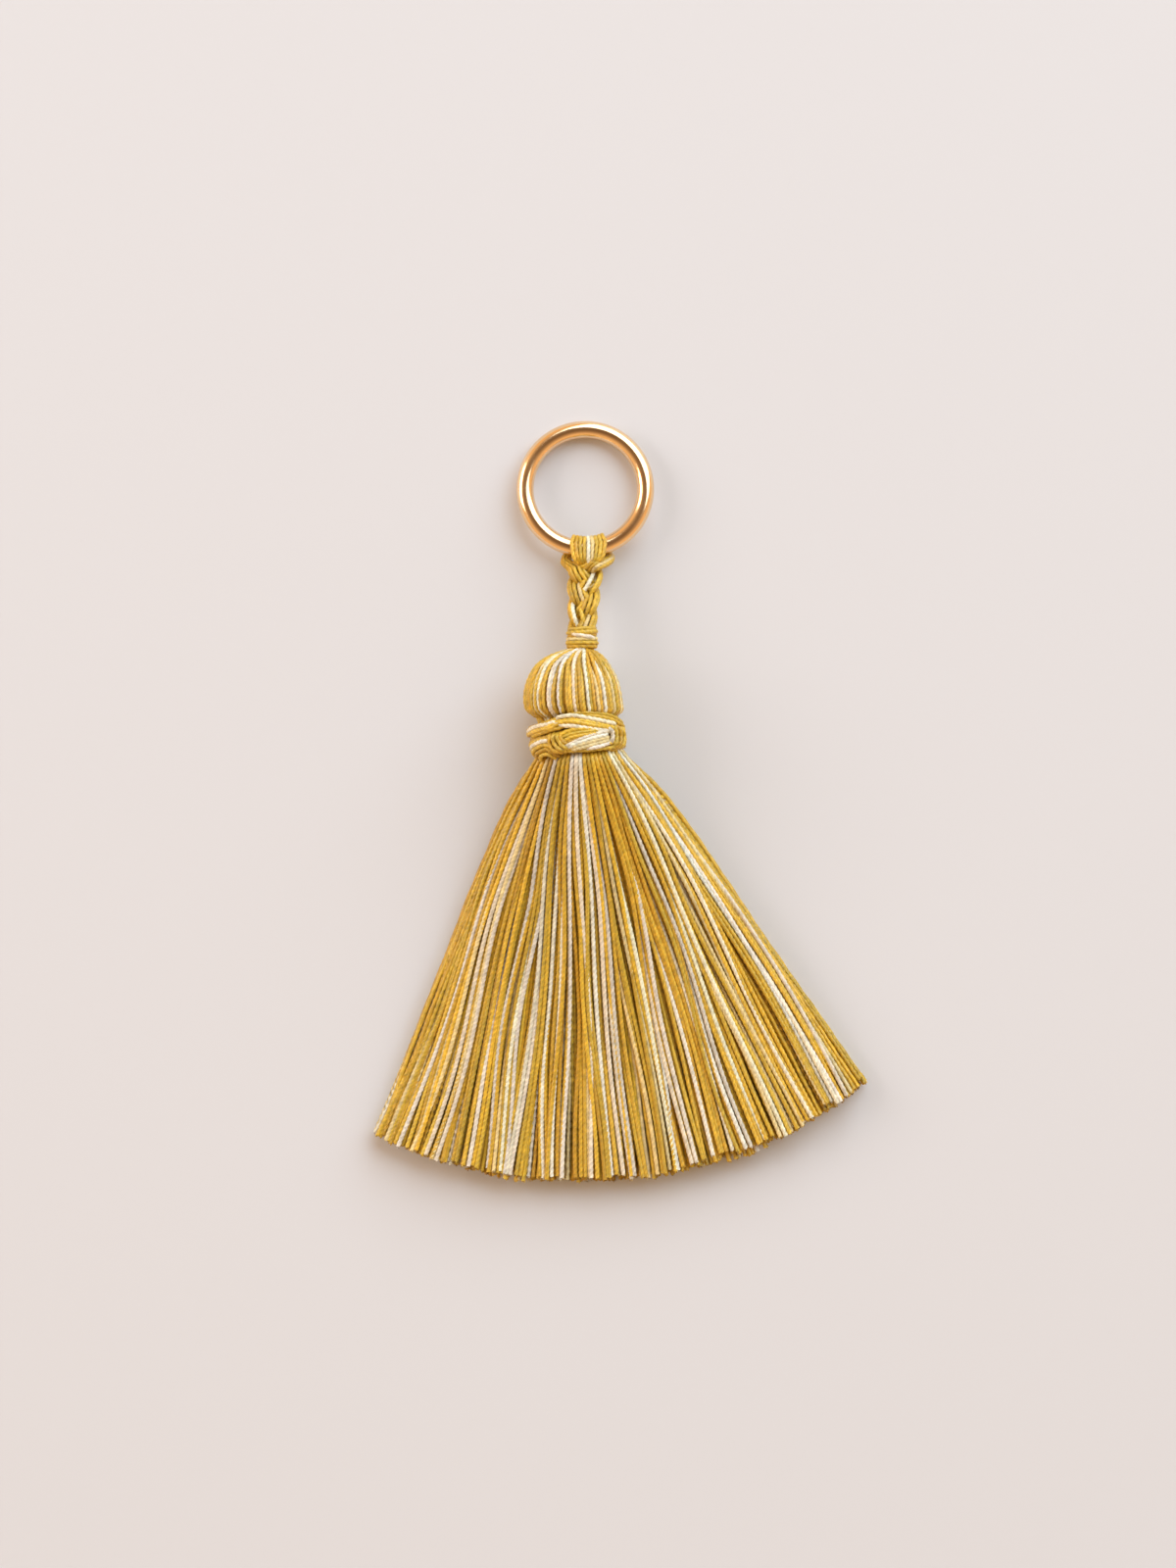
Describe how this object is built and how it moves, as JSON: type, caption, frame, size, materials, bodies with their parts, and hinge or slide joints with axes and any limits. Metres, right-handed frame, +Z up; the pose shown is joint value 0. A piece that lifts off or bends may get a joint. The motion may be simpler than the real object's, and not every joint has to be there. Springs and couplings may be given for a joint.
{
  "type": "tassel",
  "caption": "Yarn tassel with a flared skirt, a round head and a bound neck, on a plaited hanger looped round a metal ring.",
  "frame": {"origin": "middle of the tassel's underside as it lies on a surface", "axes": "+X to the right seen from above, +Y from the skirt's cut edge towards the ring, +Z up from the surface"},
  "size_m": [0.071, 0.111, 0.0142],
  "materials": {
    "ring": "polished gold plating",
    "yarn": "lustrous twisted yarn in gold and cream"
  },
  "bodies": {
    "root": {"ring": "ring", "hanger": "yarn", "top_knot": "yarn", "head_and_skirt": "yarn", "neck_binding": "yarn"}
  },
  "joints": []
}
